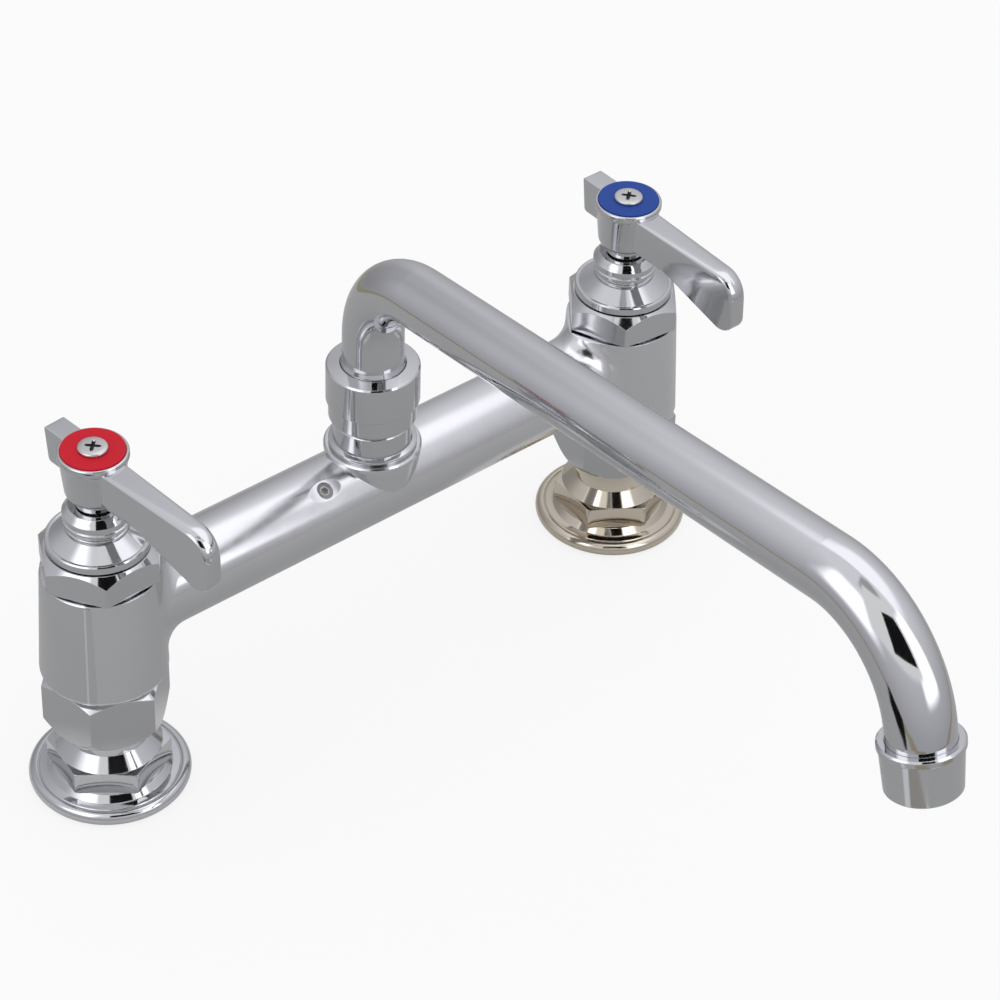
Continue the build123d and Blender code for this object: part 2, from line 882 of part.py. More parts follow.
def spout_tube():
    """Bent tube: riser with a sleeve in the nut, elbow, rising arm and a turned-down end, open at both ends."""
    corner, end, down = spout_points()
    route = FilletPolyline(
        (0, 0, ferrule_high),
        (0, 0, spout_corner_height),
        (0, -corner[0], corner[1]),
        (0, -end[0], end[1]),
        radius=[spout_elbow, spout_end_bend],
    )
    start = Plane(origin=(0, 0, ferrule_high), z_dir=(0, 0, 1))
    outer = sweep(start * Circle(spout_radius), path=route)
    inner = sweep(start * Circle(spout_radius - spout_wall), path=route)
    sleeve = turned(
        [
            (spout_radius - spout_wall / 2, ferrule_high),
            (riser_radius, ferrule_high),
            (riser_radius, riser_sleeve_high),
            (spout_radius, riser_sleeve_high + riser_sleeve_taper),
            (spout_radius - spout_wall / 2, riser_sleeve_high + riser_sleeve_taper),
        ]
    )
    return Rot(0, 0, spout_turn) * (outer + sleeve - inner)


def on_outlet(shape):
    """Puts a piece modelled downwards from height zero onto the end of the spout."""
    corner, end, down = spout_points()
    lean = Rot(-spout_end_lean, 0, 0)
    return Rot(0, 0, spout_turn) * (Pos(0, -end[0], end[1]) * (lean * shape))


def aerator_housing():
    """Slightly tapered ring on the end of the spout, with a lip that holds the insert."""
    top = aerator_overlap
    low = top - aerator_length
    housing = turned(
        [
            (0, low),
            (aerator_low_radius - edge_break, low),
            (aerator_low_radius, low + edge_break),
            (aerator_top_radius - edge_break, top - aerator_rim - edge_break),
            (aerator_top_radius, top - aerator_rim),
            (aerator_top_radius, top - edge_break),
            (aerator_top_radius - edge_break, top),
            (0, top),
        ]
    )
    housing -= disc(spout_radius + thread_gap, 0, top + overcut)
    housing -= disc(aerator_seat + thread_gap, low + aerator_lip, overcut)
    housing -= disc(aerator_lip_bore, low - overcut, overcut)
    return on_outlet(housing)


def aerator_washer_piece():
    """Rubber washer between the end of the spout and the insert."""
    return on_outlet(ring(aerator_seat, aerator_washer_bore, -aerator_washer, 0))


def aerator_insert_piece():
    """Flow straightener with a ring of holes, held by the lip of the housing."""
    low = aerator_overlap - aerator_length + aerator_lip
    face = low - aerator_lip + edge_break
    insert = disc(aerator_seat, low, -aerator_washer)
    insert += disc(aerator_lip_bore - loose_gap, face, low)
    hole = disc(aerator_hole_radius, face - overcut, 0)
    for index in range(aerator_holes):
        insert -= Rot(0, 0, 360 * index / aerator_holes) * (Pos(aerator_hole_circle, 0, 0) * hole)
    return on_outlet(insert - hole)


pieces = {
    "bridge_body": bridge_body(),
    "lock_screw": lock_screw(),
    "swivel_spud": swivel_spud(),
    "swivel_nut": swivel_nut(),
    "thrust_washer": thrust_washer_piece(),
    "retaining_washer": retaining_washer_piece(),
    "spout_ferrule": spout_ferrule(),
    "ferrule_o_rings": ferrule_o_rings(),
    "spout_tube": spout_tube(),
    "aerator_housing": aerator_housing(),
    "aerator_washer": aerator_washer_piece(),
    "aerator_insert": aerator_insert_piece(),
}
for name, side, turn in (("hot", hot_side, hot_lever_turn), ("cold", cold_side, cold_lever_turn)):
    pieces[f"{name}_inlet_flange"] = inlet_flange(side)
    pieces[f"{name}_tailpiece"] = tailpiece(side)
    pieces[f"{name}_coupling_washer"] = coupling_washer_piece(side)
    pieces[f"{name}_union_nut"] = union_nut(side)
    pieces[f"{name}_bonnet"] = bonnet(side)
    pieces[f"{name}_packing_nut"] = packing_nut(side)
    pieces[f"{name}_stem_packing"] = stem_packing(side)
    pieces[f"{name}_cartridge_housing"] = cartridge_housing(side)
    pieces[f"{name}_fixed_disc"] = fixed_disc(side)
    pieces[f"{name}_moving_disc"] = moving_disc(side)
    pieces[f"{name}_seat_seal"] = seat_seal(side)
    pieces[f"{name}_valve_stem"] = valve_stem(side)
    pieces[f"{name}_stem_o_ring"] = stem_o_ring(side)
    pieces[f"{name}_lever_handle"] = lever_handle(side, turn)
    pieces[f"{name}_index_disc"] = index_disc(side)
    pieces[f"{name}_handle_screw"] = handle_screw(side, turn)

os.makedirs("parts", exist_ok=True)
for name, shape in pieces.items():
    export_step(shape, f"parts/{name}.step")
    print(name, round(shape.volume, 1))
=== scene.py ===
import math

import bmesh
import bpy
from mathutils import Matrix, Vector


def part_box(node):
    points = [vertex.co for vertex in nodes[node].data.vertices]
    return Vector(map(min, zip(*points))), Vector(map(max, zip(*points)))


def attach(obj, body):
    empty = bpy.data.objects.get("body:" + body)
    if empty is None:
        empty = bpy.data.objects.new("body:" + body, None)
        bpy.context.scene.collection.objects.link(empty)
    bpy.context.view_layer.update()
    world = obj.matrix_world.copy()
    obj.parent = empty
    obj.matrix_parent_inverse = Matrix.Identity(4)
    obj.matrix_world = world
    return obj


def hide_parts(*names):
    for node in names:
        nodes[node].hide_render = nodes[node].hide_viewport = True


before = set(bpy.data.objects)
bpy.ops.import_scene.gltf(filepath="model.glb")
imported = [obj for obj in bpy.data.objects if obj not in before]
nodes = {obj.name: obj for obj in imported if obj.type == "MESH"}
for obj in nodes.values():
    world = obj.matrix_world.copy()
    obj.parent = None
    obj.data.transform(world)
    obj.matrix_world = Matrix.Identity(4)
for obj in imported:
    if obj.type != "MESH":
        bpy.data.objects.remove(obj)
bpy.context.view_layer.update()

scene = bpy.context.scene

# Camera: angles in radians, lengths in metres, SENSOR in millimetres
IMAGE_SIDE = 1000
FOCAL_PIXELS = 3611.7
SENSOR = 36.0
VIEW_AZIMUTH = math.radians(-41.215)
VIEW_ELEVATION = math.radians(39.647)
VIEW_ROLL = math.radians(2.116)
VIEW_DISTANCE = 1.1186
VIEW_TARGET = Vector((0.02833, -0.02799, 0.060))
CLIP_NEAR = 0.05
CLIP_FAR = 50.0


def make_camera():
    """Camera at the photograph's viewing angle."""
    flat = math.cos(VIEW_ELEVATION)
    back = Vector((math.sin(VIEW_AZIMUTH) * flat, -math.cos(VIEW_AZIMUTH) * flat, math.sin(VIEW_ELEVATION)))
    right = Vector((math.cos(VIEW_AZIMUTH), math.sin(VIEW_AZIMUTH), 0.0))
    up = back.cross(right)
    turned_right = right * math.cos(VIEW_ROLL) + up * math.sin(VIEW_ROLL)
    turned_up = up * math.cos(VIEW_ROLL) - right * math.sin(VIEW_ROLL)
    data = bpy.data.cameras.new("camera")
    data.sensor_fit = "HORIZONTAL"
    data.sensor_width = SENSOR
    data.lens = FOCAL_PIXELS * SENSOR / IMAGE_SIDE
    data.clip_start = CLIP_NEAR
    data.clip_end = CLIP_FAR
    camera = bpy.data.objects.new("camera", data)
    scene.collection.objects.link(camera)
    turn = Matrix((turned_right, turned_up, back)).transposed()
    camera.matrix_world = Matrix.Translation(VIEW_TARGET + back * VIEW_DISTANCE) @ turn.to_4x4()
    scene.camera = camera


make_camera()
scene.view_settings.view_transform = "Standard"

# Colour sockets of a Mix node, and the middle of a noise's range
MIX_FIRST, MIX_SECOND, MIX_RESULT = 6, 7, 2
NOISE_LOW, NOISE_HIGH = 0.35, 0.65


class Nodes:
    """Shorthand for building a node tree."""

    def __init__(self, owner):
        owner.use_nodes = True
        kind = "World" if isinstance(owner, bpy.types.World) else "Material"
        self.output = f"ShaderNodeOutput{kind}"
        self.tree = owner.node_tree
        self.tree.nodes.clear()

    def add(self, kind, values=None, **settings):
        """Node with its settings, and with values or links for its inputs."""
        node = self.tree.nodes.new(kind)
        for key, value in settings.items():
            setattr(node, key, value)
        for key, value in (values or {}).items():
            if isinstance(value, bpy.types.NodeSocket):
                self.tree.links.new(value, node.inputs[key])
            else:
                node.inputs[key].default_value = value
        return node

    def finish(self, shader):
        """Shader carried to the output."""
        self.add(self.output, {"Surface": shader.outputs[0]})

    def maths(self, operation, first, second, clamp=False):
        node = self.add("ShaderNodeMath", {0: first, 1: second}, operation=operation, use_clamp=clamp)
        return node.outputs[0]

    def vector(self, operation, first, second=None):
        values = {0: first} if second is None else {0: first, 1: second}
        return self.add("ShaderNodeVectorMath", values, operation=operation)

    def place(self):
        return self.add("ShaderNodeTexCoord").outputs["Object"]

    def split(self, vector):
        return self.add("ShaderNodeSeparateXYZ", {0: vector}).outputs

    def degrees(self, opposite, adjacent):
        """Angle in degrees, from -180 to 180."""
        return self.maths("MULTIPLY", self.maths("ARCTAN2", opposite, adjacent), math.degrees(1))

    def noise(self, vector, scale, detail=3.0, roughness=0.5):
        values = {"Vector": vector, "Scale": scale, "Detail": detail, "Roughness": roughness}
        return self.add("ShaderNodeTexNoise", values).outputs["Fac"]

    def ranged(self, value, from_low, from_high, low, high, kind="LINEAR"):
        """Value carried from one range to another, and held at its ends."""
        values = {"Value": value, "From Min": from_low, "From Max": from_high, "To Min": low, "To Max": high}
        return self.add("ShaderNodeMapRange", values, interpolation_type=kind).outputs["Result"]

    def spread(self, noise, low, high):
        """Middle of a noise's range carried to two values."""
        return self.ranged(noise, NOISE_LOW, NOISE_HIGH, low, high)

    def between(self, value, low, high, soft):
        """1 between two limits and 0 outside them, over a soft width."""
        rise = self.ranged(value, low - soft, low + soft, 0.0, 1.0, "SMOOTHSTEP")
        fall = self.ranged(value, high - soft, high + soft, 1.0, 0.0, "SMOOTHSTEP")
        return self.maths("MULTIPLY", rise, fall)

    def seen(self):
        """1 for what the camera, mirrors and glass see, 0 for light on a surface."""
        path = self.add("ShaderNodeLightPath")
        seen = self.maths("ADD", path.outputs["Is Camera Ray"], path.outputs["Is Glossy Ray"], clamp=True)
        return self.maths("ADD", seen, path.outputs["Is Transmission Ray"], clamp=True)

    def shades(self, share, first, second):
        """Colour that goes from the first, which may be a socket, to the second."""
        if not isinstance(first, bpy.types.NodeSocket):
            first = (*first, 1.0)
        values = {"Factor": share, MIX_FIRST: first, MIX_SECOND: (*second, 1.0)}
        return self.add("ShaderNodeMix", values, data_type="RGBA").outputs[MIX_RESULT]

    def mixed(self, share, first, second):
        return self.add("ShaderNodeMixShader", {0: share, 1: first.outputs[0], 2: second.outputs[0]})


# Surface detail: scales of the noises per metre, heights and widths in metres
METAL_SLOW, METAL_CLOUD, METAL_FINE = 45.0, 160.0, 2600.0
METAL_TINTS = 0.965, 1.03
METAL_WAVE = 0.00002
METAL_EDGE = 0.00035
EDGE_SAMPLES = 4
PLASTIC_CLOUD, PLASTIC_FINE = 220.0, 2400.0
PLASTIC_TINTS = 0.94, 1.06
PLASTIC_GRAIN = 0.000004
PLASTIC_SPREAD = 0.08


def tinted(colour, shares):
    """Darker and lighter version of a colour."""
    return [[min(1.0, channel * share) for channel in colour] for share in shares]


def metal(name, colour, roughness, spread, grain=0.0):
    """Plated or machined metal: slow colour drift, uneven polish, slight waves and softened edges."""
    material = bpy.data.materials.new(name)
    n = Nodes(material)
    place = n.place()
    slow = n.noise(place, METAL_SLOW, 2.0)
    cloud = n.noise(place, METAL_CLOUD, 4.0, 0.6)
    tint = n.shades(slow, *tinted(colour, METAL_TINTS))
    gloss = n.spread(cloud, roughness, roughness + spread)
    normal = n.add("ShaderNodeBevel", {"Radius": METAL_EDGE}, samples=EDGE_SAMPLES).outputs["Normal"]
    values = {"Height": slow, "Normal": normal, "Strength": 1.0, "Distance": METAL_WAVE}
    bump = n.add("ShaderNodeBump", values)
    if grain:
        fine = n.noise(place, METAL_FINE, 3.0, 0.6)
        values = {"Height": fine, "Normal": bump.outputs[0], "Strength": 1.0, "Distance": grain}
        bump = n.add("ShaderNodeBump", values)
    values = {"Base Color": tint, "Metallic": 1.0, "Roughness": gloss, "Normal": bump.outputs[0]}
    n.finish(n.add("ShaderNodeBsdfPrincipled", values))
    return material


def moulded(name, colour, roughness, sheen=0.5):
    """Plastic, enamel, rubber or ceramic: slight mottling, uneven gloss and a fine skin."""
    material = bpy.data.materials.new(name)
    n = Nodes(material)
    place = n.place()
    cloud = n.noise(place, PLASTIC_CLOUD, 4.0, 0.55)
    fine = n.noise(place, PLASTIC_FINE, 2.0)
    tint = n.shades(cloud, *tinted(colour, PLASTIC_TINTS))
    gloss = n.spread(cloud, roughness, roughness + PLASTIC_SPREAD)
    bump = n.add("ShaderNodeBump", {"Height": fine, "Strength": 1.0, "Distance": PLASTIC_GRAIN})
    values = {"Base Color": tint, "Roughness": gloss, "Normal": bump.outputs[0], "Specular IOR Level": sheen}
    n.finish(n.add("ShaderNodeBsdfPrincipled", values))
    return material


materials = {
    "chrome": metal("chrome", (0.58, 0.585, 0.60), 0.045, 0.03),
    "satin_chrome": metal("satin_chrome", (0.66, 0.665, 0.68), 0.16, 0.05, grain=0.0000012),
    # Lighter copy of satin_chrome: a painted highlight on the ridge along each chamber's crease
    "painted_highlight_edge": metal("painted_highlight_edge", (0.79, 0.795, 0.81), 0.16, 0.05, grain=0.0000012),
    # Darker copy of satin_chrome: painted shade on the outer side of each chamber
    "satin_painted_shade": metal("satin_painted_shade", (0.60, 0.605, 0.62), 0.16, 0.05, grain=0.0000012),
    # Dark grey metal for the ring round the set screw: painted shade in the hole round the screw
    "painted_screw_shade": metal("painted_screw_shade", (0.27, 0.27, 0.28), 0.3, 0.08, grain=0.000002),
    "warm_nickel": metal("warm_nickel", (0.60, 0.545, 0.455), 0.06, 0.03),
    "brass": metal("brass", (0.78, 0.62, 0.33), 0.22, 0.1, grain=0.000002),
    "steel": metal("steel", (0.60, 0.595, 0.585), 0.28, 0.1, grain=0.000002),
    "disc_red": moulded("disc_red", (0.62, 0.012, 0.028), 0.32, sheen=0.12),
    "disc_blue": moulded("disc_blue", (0.022, 0.07, 0.34), 0.32, sheen=0.12),
    "rubber": moulded("rubber", (0.03, 0.03, 0.03), 0.55),
    "plastic_white": moulded("plastic_white", (0.8, 0.8, 0.78), 0.4),
    "ceramic_grey": moulded("ceramic_grey", (0.76, 0.76, 0.74), 0.15),
}

# Finish of each CAD node, by its name without a side
slots = {
    "bridge_body": "satin_chrome",
    "inlet_flange": "chrome",
    "tailpiece": "brass",
    "coupling_washer": "rubber",
    "union_nut": "chrome",
    "bonnet": "chrome",
    "packing_nut": "chrome",
    "stem_packing": "rubber",
    "cartridge_housing": "brass",
    "fixed_disc": "ceramic_grey",
    "moving_disc": "ceramic_grey",
    "seat_seal": "rubber",
    "valve_stem": "brass",
    "stem_o_ring": "rubber",
    "lever_handle": "chrome",
    "handle_screw": "steel",
    "lock_screw": "steel",
    "swivel_spud": "chrome",
    "swivel_nut": "chrome",
    "thrust_washer": "plastic_white",
    "retaining_washer": "plastic_white",
    "spout_ferrule": "brass",
    "ferrule_o_rings": "rubber",
    "spout_tube": "chrome",
    "aerator_housing": "chrome",
    "aerator_washer": "rubber",
    "aerator_insert": "plastic_white",
}
own_slots = {"hot_index_disc": "disc_red", "cold_index_disc": "disc_blue", "cold_inlet_flange": "warm_nickel"}

for name, node in nodes.items():
    finish = own_slots.get(name) or slots[name.removeprefix("hot_").removeprefix("cold_")]
    node.data.materials.clear()
    node.data.materials.append(materials[finish])


# Forms made here, most in place of CAD nodes: lengths in millimetres and angles in degrees.
# A profile is a closed line of (radius, height) round an upright axis.
MM = 0.001
STEPS = 180
FEWEST_STEPS = 8
SHARP = 28
HOT = -101.6
COLD = 101.6
SPOUT_TURN = -4.15
SPOUT_LEAN = 12.8


def across_flats(angle, corner, apothem):
    """Distance from a hexagon's axis to its side, in the direction of an angle."""
    return apothem / math.cos(math.radians((angle - corner) % 60 - 30))


def drawn_in(rows, index, limit):
    """Point of a profile, drawn back along its line to a limit of radius."""
    radius, height = rows[index]
    if radius <= limit:
        return radius, height
    for other in (index - 1, (index + 1) % len(rows)):
        inner, level = rows[other]
        if inner < limit:
            return limit, level + (limit - inner) / (radius - inner) * (height - level)
    return limit, height


def add_turned(form, centre, profile, corner=0.0, apothem=None, start=0.0, sweep=360.0):
    """Profile turned about an upright axis, cut by a hexagon where an apothem is given.
    A radius may be a function of the angle."""
    whole = sweep >= 360
    count = STEPS if whole else max(FEWEST_STEPS, round(sweep / 360 * STEPS))
    columns = []
    for step in range(count if whole else count + 1):
        angle = corner + start + sweep * step / count
        limit = across_flats(angle, corner, apothem) if apothem else math.inf
        rows = [(radius(angle) if callable(radius) else radius, height) for radius, height in profile]
        turn = math.radians(angle)
        column = []
        for index in range(len(rows)):
            radius, height = drawn_in(rows, index, limit)
            place = (centre + radius * math.cos(turn), radius * math.sin(turn), height)
            column.append(form.verts.new([MM * value for value in place]))
        columns.append(column)
    pairs = list(zip(columns, columns[1:] + columns[:1])) if whole else list(zip(columns, columns[1:]))
    for column, beyond in pairs:
        for index in range(len(column)):
            after = (index + 1) % len(column)
            form.faces.new((column[index], beyond[index], beyond[after], column[after]))
    if not whole:
        form.faces.new(columns[0])
        form.faces.new(columns[-1][::-1])


def arc(centre_radius, centre_height, radius, first, last, count):
    """Points of a profile on an arc, from angle to angle, counted from the outward direction."""
    points = []
    for step in range(count + 1):
        turn = math.radians(first + (last - first) * step / count)
        points.append((centre_radius + radius * math.cos(turn), centre_height + radius * math.sin(turn)))
    return points


def add_bands(form, loops):
    """Faces between each closed row of points and the next."""
    for first, second in zip(loops, loops[1:]):
        for index in range(len(first)):
            after = (index + 1) % len(first)
            form.faces.new((first[index], second[index], second[after], first[after]))


def piece_of(form, name, body, finish, covers=(), sharp=SHARP):
    """Object from a form: smooth with sharp edges, riding on its body."""
    bmesh.ops.recalc_face_normals(form, faces=form.faces)
    mesh = bpy.data.meshes.new(name)
    form.to_mesh(mesh)
    form.free()
    mesh.polygons.foreach_set("use_smooth", [True] * len(mesh.polygons))
    mesh.set_sharp_from_angle(angle=math.radians(sharp))
    piece = bpy.data.objects.new(name, mesh)
    scene.collection.objects.link(piece)
    mesh.materials.append(materials[finish])
    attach(piece, body)
    if covers:
        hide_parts(*covers)
    return piece


# Columns: half widths across the flats of their hexagons
BONNET_HALF = 16.55
NUT_HALF = 17.2
FLANGE_HALF = 16.4


def make_bonnet(side, x, corner):
    """Bonnet: hexagon with a chamfered top, round rim, cone and threaded neck."""
    form = bmesh.new()
    hexagon = [(14.0, 82.75), (19.2, 82.75), (19.2, 89.3), (15.9, 92.2), (14.0, 92.2)]
    add_turned(form, x, hexagon, corner, BONNET_HALF)
    core = [(7.1, 74.5), (10.85, 74.5), (10.85, 82.1), (15.6, 82.1), (15.6, 83.2), (14.2, 83.2)]
    core += [(14.2, 92.35), (15.3, 92.5), (15.5, 92.75), (15.5, 94.8), (15.1, 95.2), (14.5, 95.2)]
    core += [(14.2, 94.95), (9.3, 98.4), (8.5, 98.4), (8.5, 103.8), (7.1, 103.8)]
    add_turned(form, x, core)
    piece_of(form, f"{side}_bonnet_form", "base", "chrome", [f"{side}_bonnet"])


def make_union_nut(side, x, corner, foot):
    """Union nut: hexagon with chamfers at foot and top, hollow under its shoulder."""
    form = bmesh.new()
    nut = [(10.7, foot), (16.9, foot), (17.2, foot + 0.2), (19.95, foot + 4.1), (19.95, 41.3), (16.8, 43.2)]
    nut += [(13.65, 43.2), (13.65, 31.4), (10.7, 31.4)]
    add_turned(form, x, nut, corner, NUT_HALF)
    piece_of(form, f"{side}_union_nut_form", "base", "chrome", [f"{side}_union_nut"])


def make_flange(side, x, corner, finish):
    """Inlet flange: rolled rim, groove, dish and ledge, with a hexagon, cone and neck on it."""
    form = bmesh.new()
    base = [(9.3, 0.0), (23.3, 0.0)] + arc(22.5, 2.3, 2.3, -75, 90, 14)
    base += [(22.1, 4.5), (21.85, 4.15), (21.6, 4.15), (21.4, 4.35), (19.4, 4.5), (19.1, 4.6)]
    base += [(17.5, 6.3), (17.3, 6.5), (17.1, 6.55), (14.0, 6.6), (14.0, 13.0), (9.3, 13.0)]
    add_turned(form, x, base)
    top = [(10.45, 6.5), (19.0, 6.5), (19.0, 13.2), (18.6, 13.7), (16.35, 14.1), (12.6, 18.2)]
    top += [(12.6, 24.3), (10.45, 24.3)]
    add_turned(form, x, top, corner, FLANGE_HALF)
    piece_of(form, f"{side}_flange_form", "base", finish, [f"{side}_inlet_flange"])


def make_packing_nut(side, x):
    """Packing nut: small round nut with steps and grooves."""
    form = bmesh.new()
    nut = [(4.4, 98.45), (9.4, 98.45), (9.55, 98.7), (9.55, 99.7), (9.0, 100.1), (9.0, 100.6), (9.95, 101.1)]
    nut += [(10.0, 101.4), (10.0, 102.2), (9.55, 102.5), (9.55, 103.0), (10.0, 103.3), (10.0, 104.7)]
    nut += [(9.4, 105.4), (9.2, 105.6), (8.5, 106.8), (8.2, 107.0), (4.4, 107.0)]
    add_turned(form, x, nut)
    piece_of(form, f"{side}_packing_nut_form", "base", "chrome", [f"{side}_packing_nut"])


# Each column's side, place, finish of its flange, height of its union nut's foot, and the direction of one
# corner of its bonnet, union nut and flange
COLUMNS = (
    ("hot", HOT, "chrome", 24.8, 62.0, 41.8, 21.5),
    ("cold", COLD, "warm_nickel", 27.4, 52.0, 18.8, 25.5),
)
for side, x, finish, foot, bonnet_corner, nut_corner, flange_corner in COLUMNS:
    make_bonnet(side, x, bonnet_corner)
    make_union_nut(side, x, nut_corner, foot)
    make_flange(side, x, flange_corner, finish)
    make_packing_nut(side, x)


def turned_off(angle, middle):
    """Angle between two directions, from 0 to 180."""
    return abs((angle - middle + 180) % 360 - 180)


def make_chamber_side(side, x, facing):
    """Round skin in painted shade over a chamber's flat outer face, and a fine upright ridge on its crease in
    a painted highlight.
    """
    crease = 46.5
    past_crease = 3.0
    low, high = 43.58, 82.12
    low_radius, high_radius = 19.4, 17.74
    foot, edge = 2.6, 0.9
    taper, rise = 1.7, 38.5
    slope = math.degrees(math.atan2(taper, rise))
    inner, core = 11.0, 12.0
    proud, sink = 0.02, 0.06

    def skin(radius):
        return lambda angle: radius + proud - sink * max(0.0, turned_off(angle, facing) - crease)

    form = bmesh.new()
    wall = [(inner, low)] + arc(low_radius - foot, low + foot, foot, -90, slope, 8)
    wall += arc(high_radius - edge, high - edge, edge, slope, 90, 5) + [(inner, high)]
    rows = [(skin(radius) if radius > core else radius, height) for radius, height in wall]
    half = crease + past_crease
    add_turned(form, x, rows, start=facing - half, sweep=2 * half)
    # The skin takes the darker satin copy: painted shade
    piece_of(form, f"{side}_chamber_side", "base", "satin_painted_shade")

    before_crease = 5.5
    middle = facing + crease - before_crease
    ridge_half = 1.6
    ridge_proud, ridge_fall = 0.12, 0.11
    ridge_inner, ridge_core = 14.5, 15.0
    ridge_low, ridge_high = 45.0, 80.9

    def ridge(radius):
        return lambda angle: radius + ridge_proud - ridge_fall * turned_off(angle, middle) ** 1.5

    form = bmesh.new()
    bar = [(ridge_inner, ridge_low)] + arc(low_radius - foot, low + foot, foot, -40, slope, 5)
    bar += [(high_radius, ridge_high), (ridge_inner, ridge_high)]
    rows = [(ridge(radius) if radius > ridge_core else radius, height) for radius, height in bar]
    add_turned(form, x, rows, start=middle - ridge_half, sweep=2 * ridge_half)
    # The ridge takes the lighter satin copy: a painted highlight
    piece_of(form, f"{side}_chamber_crease", "base", "painted_highlight_edge")


make_chamber_side("hot", HOT, 180.0)
make_chamber_side("cold", COLD, 0.0)


def make_spot_face():
    """Tube skin with a shallow leaf-shaped flat, and a dark ring of painted shade round the set screw in it.
    """
    centre = Vector((-24.0, 0, 65.6))
    tilt = 33
    seat = Matrix.Translation(MM * centre) @ Matrix.Rotation(math.radians(tilt), 4, "X")
    tube = 13.66
    hole, reach, leaf_reach = 2.5, 5.75, 5.65
    depth = 0.42
    rings, steps = 16, 96
    form = bmesh.new()
    loops = []
    for ring in range(rings + 1):
        distance = hole + (reach - hole) * ring / rings
        loop = []
        for step in range(steps):
            turn = 2 * math.pi * step / steps
            x, y = distance * math.cos(turn), distance * math.sin(turn)
            round_top = math.sqrt(tube * tube - y * y)
            leaf = tube - depth * (1 - (x / leaf_reach) ** 2)
            loop.append(form.verts.new((MM * x, MM * y, MM * min(round_top, leaf))))
        loops.append(loop)
    add_bands(form, loops)
    bmesh.ops.transform(form, matrix=seat, verts=form.verts)
    piece_of(form, "spot_face_skin", "base", "satin_chrome", sharp=4)

    form = bmesh.new()
    ring = [(1.55, 12.9), (2.75, 12.9), (2.75, 13.25), (2.6, 13.32), (1.7, 13.32), (1.55, 13.2)]
    add_turned(form, 0.0, ring)
    bmesh.ops.transform(form, matrix=seat, verts=form.verts)
    # The ring is dark grey: painted shade round the set screw
    piece_of(form, "set_screw_ring", "base", "painted_screw_shade")


make_spot_face()


def make_outlet_mesh():
    """Fine crossed wires under the holes of the insert, square to the leaning end of the spout."""
    wire, pitch, wires_each_side = 0.16, 1.1, 6
    reach = 7.0
    drop, layer = 0.25, 0.12
    sides = 8
    low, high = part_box("aerator_insert")
    swing = Matrix.Rotation(math.radians(SPOUT_TURN), 3, "Z")
    lean = swing @ Matrix.Rotation(math.radians(-SPOUT_LEAN), 3, "X")
    axis = lean @ Vector((0, 0, 1))
    middle = (low + high) / 2
    lowest = min((vertex.co - middle).dot(axis) for vertex in nodes["aerator_insert"].data.vertices)
    face = middle + axis * (lowest - drop * MM)
    form = bmesh.new()
    for direction, level in ((45, layer), (135, -layer)):
        along = lean @ Vector((math.cos(math.radians(direction)), math.sin(math.radians(direction)), 0))
        across = axis.cross(along)
        for index in range(-wires_each_side, wires_each_side + 1):
            shift = index * pitch
            half = math.sqrt(reach * reach - shift * shift)
            ends = []
            for end in (-half, half):
                ring = []
                for step in range(sides):
                    turn = 2 * math.pi * step / sides
                    spot = along * end + across * (shift + wire * math.cos(turn))
                    spot += axis * (wire * math.sin(turn) + level)
                    ring.append(form.verts.new(face + MM * spot))
                ends.append(ring)
            add_bands(form, ends)
            form.faces.new(ends[0][::-1])
            form.faces.new(ends[1])
    piece_of(form, "outlet_mesh", "spout", "steel", sharp=60)


make_outlet_mesh()

# Outlines of slabs: longest line in one, and widest turn between two points of a corner
LONGEST = 2.0
CORNER_STEP = 6
RIM_LEVELS = 7


def slab_outline(corners):
    """Outline with rounded corners: each corner is (reach, height, radius, share of nose)."""
    points = []
    count = len(corners)
    for index, (reach, height, radius, end) in enumerate(corners):
        here = Vector((reach, height))
        before = (Vector(corners[index - 1][:2]) - here).normalized()
        after = (Vector(corners[(index + 1) % count][:2]) - here).normalized()
        half = before.angle(after) / 2
        run = radius / math.tan(half)
        middle = here + (before + after).normalized() * (radius / math.sin(half))
        first, last = here + before * run - middle, here + after * run - middle
        turn = first.angle_signed(last)
        steps = max(2, round(abs(math.degrees(turn)) / CORNER_STEP))
        for step in range(steps + 1):
            spot = middle + Matrix.Rotation(-turn * step / steps, 2) @ first
            points.append((spot.x, spot.y, end))
    return points


def with_middles(points):
    """Outline with its long lines divided."""
    result = []
    for index, point in enumerate(points):
        after = points[(index + 1) % len(points)]
        result.append(point)
        span = math.hypot(after[0] - point[0], after[1] - point[1])
        steps = int(span // LONGEST)
        for step in range(1, steps + 1):
            share = step / (steps + 1)
            result.append(tuple(a + (b - a) * share for a, b in zip(point, after)))
    return result


def eased(points, blend):
    """Outline with its shares of nose spread over the neighbouring points."""
    count = len(points)
    shares = [point[2] for point in points]
    for _ in range(blend):
        shares = [(shares[i - 1] + 2 * shares[i] + shares[(i + 1) % count]) / 4 for i in range(count)]
    return [(point[0], point[1], share) for point, share in zip(points, shares)]


